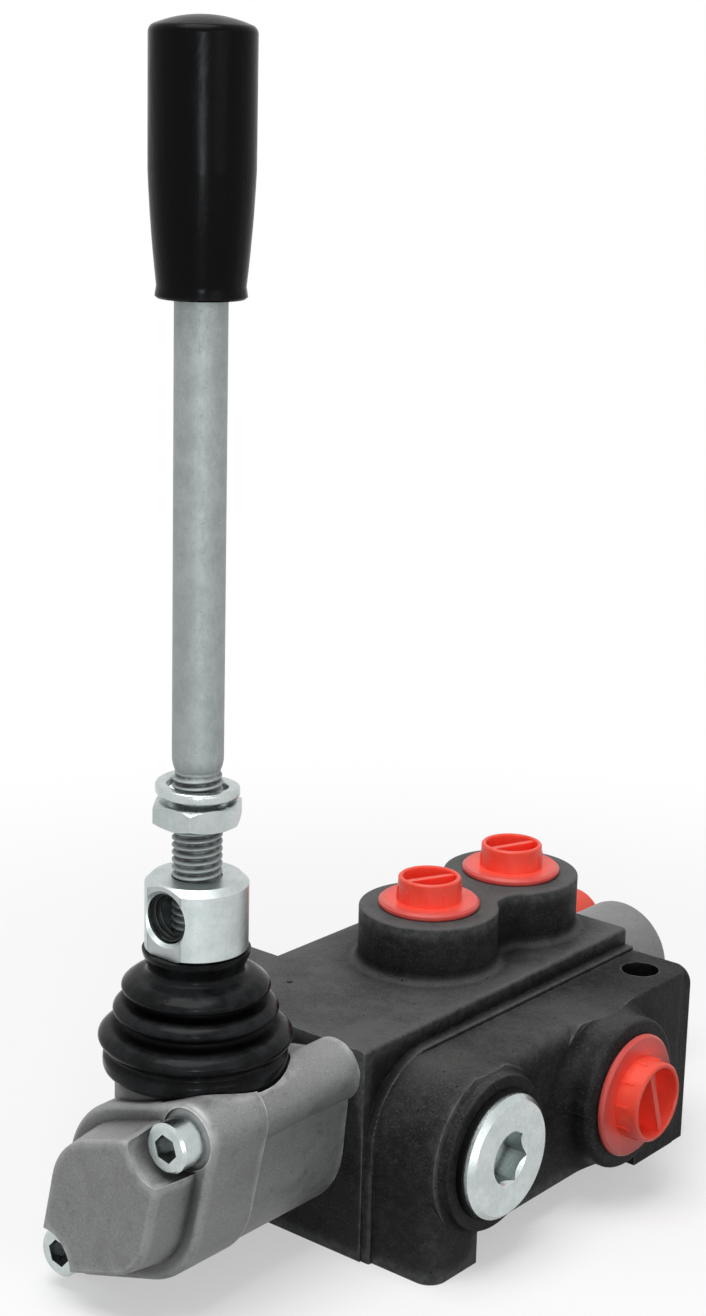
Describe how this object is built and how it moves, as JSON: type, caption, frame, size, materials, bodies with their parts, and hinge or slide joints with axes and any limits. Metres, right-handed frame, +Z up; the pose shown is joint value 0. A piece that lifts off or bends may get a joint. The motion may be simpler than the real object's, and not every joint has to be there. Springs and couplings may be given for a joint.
{
  "type": "hydraulic monoblock directional control valve",
  "caption": "Monoblock hydraulic valve with a hand lever on a rubber bellows, spring-centred spool, relief and load check valves, and plugged ports.",
  "frame": {"origin": "on the mounting plane, on the pad between the casting feet, midway between the mounting holes and at half of the casting's length; X zero is the spool axis", "axes": "+Z up out of the mounting plane and along the lever at rest, +Y along the spool from the lever box to the spring cap, +X towards the pump port and the check plug"},
  "size_m": [0.0954, 0.2025, 0.2467],
  "materials": {
    "body_casting": "matte dark charcoal coated sand casting",
    "box_alloy": "satin raw die casting",
    "spring_cap_alloy": "satin raw die casting",
    "cover_screw_zinc": "bright zinc plated",
    "plug_zinc": "bright zinc plated, turned",
    "seal_black": "matte black sealing ring",
    "red_plastic": "semi-gloss moulded polyethylene",
    "lever_rod_zinc": "bright zinc plated, drawn and turned",
    "lever_block_zinc": "bright zinc plated, turned",
    "nut_zinc": "bright zinc plated",
    "washer_steel": "plated spring steel",
    "boot_rubber": "semi-gloss black moulded rubber",
    "knob_plastic": "glossy black moulded plastic",
    "spool_steel": "ground and hardened",
    "valve_steel": "turned steel",
    "relief_zinc": "bright zinc plated",
    "spring_wire": "drawn spring wire",
    "pin_steel": "ground steel pin"
  },
  "bodies": {
    "housing": {"valve_body": "body_casting", "port_a_cap": "red_plastic", "port_b_cap": "red_plastic", "port_p_cap": "red_plastic", "port_t_cap": "red_plastic", "check_plug": "plug_zinc", "check_plug_seal": "seal_black", "check_spring": "spring_wire", "relief_cartridge": "relief_zinc", "relief_seal": "seal_black", "relief_spring": "spring_wire", "relief_screw": "relief_zinc", "relief_lock_nut": "relief_zinc", "relief_cap": "red_plastic", "spool_seal_front": "seal_black", "spool_seal_rear": "seal_black", "seal_plate_front": "valve_steel", "seal_plate_rear": "valve_steel", "rear_cap": "spring_cap_alloy", "rear_cap_screws": "cover_screw_zinc", "lever_box": "box_alloy", "lever_box_screws": "cover_screw_zinc", "pivot_pin": "pin_steel", "lever_boot": "boot_rubber"},
    "lever": {"lever_hub": "lever_block_zinc", "lever_rod": "lever_rod_zinc", "jam_nut": "nut_zinc", "spring_washer": "washer_steel", "lever_knob": "knob_plastic"},
    "spool_group": {"spool": "spool_steel", "spool_tail_screw": "valve_steel", "spring_cup_front": "valve_steel", "spring_cup_rear": "valve_steel", "centring_spring": "spring_wire"},
    "check": {"check_poppet": "valve_steel"},
    "relief": {"relief_poppet": "valve_steel"}
  },
  "joints": [
    {"name": "lever_tilt", "type": "hinge", "parent": "housing", "child": "lever", "pos_m": [0, -0.073, 0.049], "axis": [1, 0, 0], "range_deg": [-13, 13], "stiffness_Nm_per_rad": 9, "deforming": ["lever_boot"]},
    {"name": "spool_slide", "type": "slide", "parent": "housing", "child": "spool_group", "axis": [0, 1, 0], "range_m": [-0.0056, 0.0056]},
    {"name": "check_lift", "type": "slide", "parent": "housing", "child": "check", "axis": [1, 0, 0], "range_m": [0, 0.0035], "stiffness_N_per_m": 500, "springref_m": -0.006, "deforming": ["check_spring"]},
    {"name": "relief_lift", "type": "slide", "parent": "housing", "child": "relief", "axis": [0, 1, 0], "range_m": [0, 0.0015], "stiffness_N_per_m": 20000, "springref_m": -0.004, "deforming": ["relief_spring"]}
  ],
  "couplings": [
    {"joint": "spool_slide", "follows": "lever_tilt", "m_per_rad": 0.0245}
  ]
}
